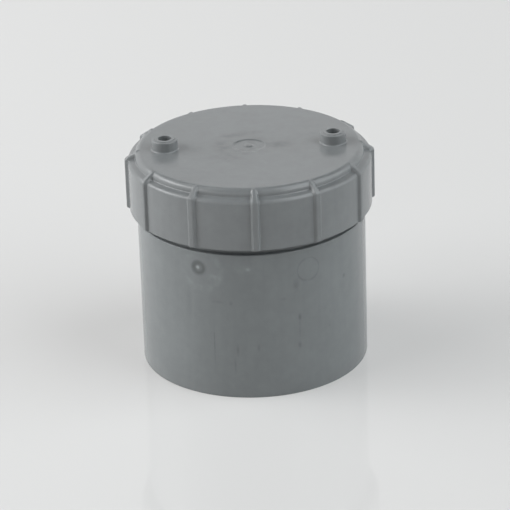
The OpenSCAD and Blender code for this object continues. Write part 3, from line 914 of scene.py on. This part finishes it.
class ACCESS_OT_make_stage(bpy.types.Operator):
    """Makes the pale floor, the even backdrop, the softboxes and the camera."""
    bl_idname = "access_cap.make_stage"
    bl_label = "Make the stage"

    def execute(self, context):
        look = context.scene.access_stage
        floor = self.make_floor(look)
        # What the softboxes show in a gloss is kept off the floor, which would mirror them whole
        glossed = bpy.data.collections.new("glossed")
        for piece in context.scene.objects:
            if piece.type == "MESH" and piece != floor:
                glossed.objects.link(piece)
        self.make_world(context.scene, look)
        aim = Vector((0, 0, 0.06))
        # Each softbox: angle from the front, height angle, width and height in metres, and for
        # what shows of it in a gloss the height angle and the share of the power
        for name, side, up, wide, high, shine_up, shine in (
            ("left_low", -78, 14, 2.0, 1.1, 14, 0),
            ("left_back", -105, 14, 2.2, 1.1, 32, 0.32),
            ("left_mid", -80, 38, 2.2, 1.0, 38, 0.48),
            ("left_top", -110, 62, 1.8, 1.1, 62, 1),
            ("right_front", 46, 24, 1.3, 1.0, 24, 0.7),
            ("right_low", 85, 14, 2.6, 1.1, 18, 0.3),
            ("right_mid", 70, 38, 3.0, 1.0, 38, 0.6),
            ("right_top", 70, 60, 1.8, 1.3, 60, 1),
        ):
            # The sheen stands in front, because a ray passes through lamps only if they are apart
            for kind, lift, share, distance in (
                ("softbox", up, 1, 2.6),
                ("sheen", shine_up, shine, 2.55),
            ):
                lift = math.radians(lift)
                away = at_azimuth(math.cos(lift), math.radians(side - 90), math.sin(lift))
                data = bpy.data.lights.new(f"{name}_{kind}", "AREA")
                data.shape = "RECTANGLE"
                data.size = wide
                data.size_y = high
                data.energy = getattr(look, name) * share
                if side > 0:
                    data.color = look.cool
                lamp = bpy.data.objects.new(data.name, data)
                lamp.location = aim + distance * away
                lamp.rotation_euler = (-away).to_track_quat("-Z", "Y").to_euler()
                # A softbox is never in the picture, from whatever side the object is seen
                lamp.visible_camera = False
                lamp.visible_glossy = kind == "sheen"
                lamp.visible_diffuse = kind == "softbox"
                if kind == "sheen":
                    lamp.light_linking.receiver_collection = glossed
                context.scene.collection.objects.link(lamp)
        self.make_camera(context.scene)
        context.scene.view_settings.view_transform = "Standard"
        return {"FINISHED"}

    def make_floor(self, look):
        """A large satin acrylic sheet, which mirrors the body weakly."""
        bm = bmesh.new()
        bmesh.ops.create_grid(bm, x_segments=8, y_segments=8, size=look.floor_size / 2)
        mesh = bpy.data.meshes.new("floor")
        bm.to_mesh(mesh)
        bm.free()
        floor = bpy.data.objects.new("floor", mesh)
        bpy.context.scene.collection.objects.link(floor)
        material, tree = new_material("satin_acrylic_sheet")
        sheet = add_node(
            tree, "ShaderNodeBsdfPrincipled",
            {"Base Color": list(look.floor) + [1], "Roughness": 0.015, "IOR": 1.52},
        )
        # The sheet is lit from below too: part of its paleness reaches only camera and glosses
        place = add_node(tree, "ShaderNodeTexCoord").outputs["Object"]
        along = add_node(
            tree, "ShaderNodeVectorMath", {0: place, 1: (-0.3, 0.2, 0)}, operation="DOT_PRODUCT"
        ).outputs["Value"]
        # That light fades a little towards the right and the front
        even = add_node(
            tree, "ShaderNodeMapRange",
            {"Value": along, "From Min": -0.1, "From Max": 0.14, "To Min": 0.72, "To Max": 0.96},
        )
        glow = add_node(
            tree, "ShaderNodeEmission", {"Color": list(look.backdrop) + [1], "Strength": even}
        )
        path = add_node(tree, "ShaderNodeLightPath").outputs
        seen = path["Is Camera Ray"]
        for ray in ("Is Glossy Ray", "Is Transmission Ray"):
            seen = add_node(tree, "ShaderNodeMath", {0: seen, 1: path[ray]}, operation="MAXIMUM")
        share = add_node(
            tree, "ShaderNodeMath", {0: seen, 1: look.floor_glow}, operation="MULTIPLY"
        )
        shader = add_node(tree, "ShaderNodeMixShader", {0: share, 1: sheet, 2: glow})
        add_node(tree, "ShaderNodeOutputMaterial", {"Surface": shader})
        mesh.materials.append(material)
        return floor

    def make_world(self, scene, look):
        """Even light from all round, a pale backdrop for the camera, and for a gloss the
        studio as it is: pale walls up to a third of the way and a dark ceiling."""
        world = bpy.data.worlds.new("studio")
        scene.world = world
        world.use_nodes = True
        tree = world.node_tree
        tree.nodes.clear()
        path = add_node(tree, "ShaderNodeLightPath").outputs
        gloss = add_node(
            tree, "ShaderNodeMath", {0: path["Is Glossy Ray"], 1: path["Is Transmission Ray"]},
            operation="MAXIMUM",
        )
        way = add_node(tree, "ShaderNodeTexCoord").outputs["Generated"]
        height = add_node(tree, "ShaderNodeSeparateXYZ", {0: way}).outputs["Z"]
        # The walls end between 33 and 42 degrees above level
        studio = add_node(
            tree, "ShaderNodeMapRange",
            {"Value": height, "From Min": 0.545, "From Max": 0.67,
             "To Min": look.walls, "To Max": look.ceiling},
            interpolation_type="SMOOTHSTEP",
        )
        white = (1, 1, 1, 1)
        light, room, backdrop = (
            add_node(tree, "ShaderNodeBackground", {"Color": tint, "Strength": strength})
            for tint, strength in (
                (white, look.ambient), (white, studio), (list(look.backdrop) + [1], 1)
            )
        )
        mix = add_node(tree, "ShaderNodeMixShader", {0: gloss, 1: light, 2: room})
        mix = add_node(
            tree, "ShaderNodeMixShader", {0: path["Is Camera Ray"], 1: mix, 2: backdrop}
        )
        add_node(tree, "ShaderNodeOutputWorld", {"Surface": mix})

    def make_camera(self, scene):
        """The photograph's own viewpoint: a long lens, 24 degrees above level."""
        data = bpy.data.cameras.new("camera")
        data.lens = 203.02
        data.sensor_width = 36
        data.clip_end = 50
        camera = bpy.data.objects.new("camera", data)
        scene.collection.objects.link(camera)
        # As fitted to the photograph's edges: where it aims, how far away and which way it looks
        aim = Vector((0.001082, 0, 0.049721))
        distance = 1.4
        down, roll, turn = (math.radians(degrees) for degrees in (24.406, -1.883, -1.694))
        ahead = Vector((0, math.cos(down), -math.sin(down)))
        above = Vector((0, math.sin(down), math.cos(down)))
        facing = Matrix((Vector((1, 0, 0)), above, -ahead)).transposed()
        facing = (facing @ Matrix.Rotation(roll, 3, "Z")).to_4x4()
        place = Matrix.Translation(aim - distance * ahead)
        camera.matrix_world = Matrix.Rotation(turn, 4, "Z") @ place @ facing
        scene.camera = camera


class ACCESS_PT_sidebar(bpy.types.Panel):
    """Lists the buttons and sizes in the 3D view's sidebar."""
    bl_label = "Pipe access cap"
    bl_idname = "ACCESS_PT_sidebar"
    bl_space_type = "VIEW_3D"
    bl_region_type = "UI"
    bl_category = "Access cap"

    def draw(self, context):
        for operator in OPERATORS:
            self.layout.operator(operator.bl_idname)
        for name, group in GROUPS.items():
            box = self.layout.box()
            sizes = getattr(context.scene, name)
            for prop in group.__annotations__:
                box.prop(sizes, prop)


GROUPS = {
    "access_body": AccessBodySizes,
    "access_thread": AccessThreadSizes,
    "access_cap": AccessCapSizes,
    "access_ribs": AccessRibSizes,
    "access_bosses": AccessBossSizes,
    "access_seal": AccessSealSizes,
    "access_marks": AccessMarkSizes,
    "access_plastic": AccessPlasticFinish,
    "access_stage": AccessStageLook,
}
OPERATORS = (ACCESS_OT_make_body, ACCESS_OT_make_cap, ACCESS_OT_make_seal, ACCESS_OT_make_stage)


def register():
    for kind in (*GROUPS.values(), *OPERATORS, ACCESS_PT_sidebar):
        bpy.utils.register_class(kind)
    for name, group in GROUPS.items():
        setattr(bpy.types.Scene, name, PointerProperty(type=group))


def unregister():
    for name in GROUPS:
        delattr(bpy.types.Scene, name)
    for kind in (ACCESS_PT_sidebar, *OPERATORS, *GROUPS.values()):
        bpy.utils.unregister_class(kind)


def main():
    register()
    bpy.ops.access_cap.make_body()
    bpy.ops.access_cap.make_cap()
    bpy.ops.access_cap.make_seal()
    bpy.ops.access_cap.make_stage()


if __name__ == "__main__":
    main()
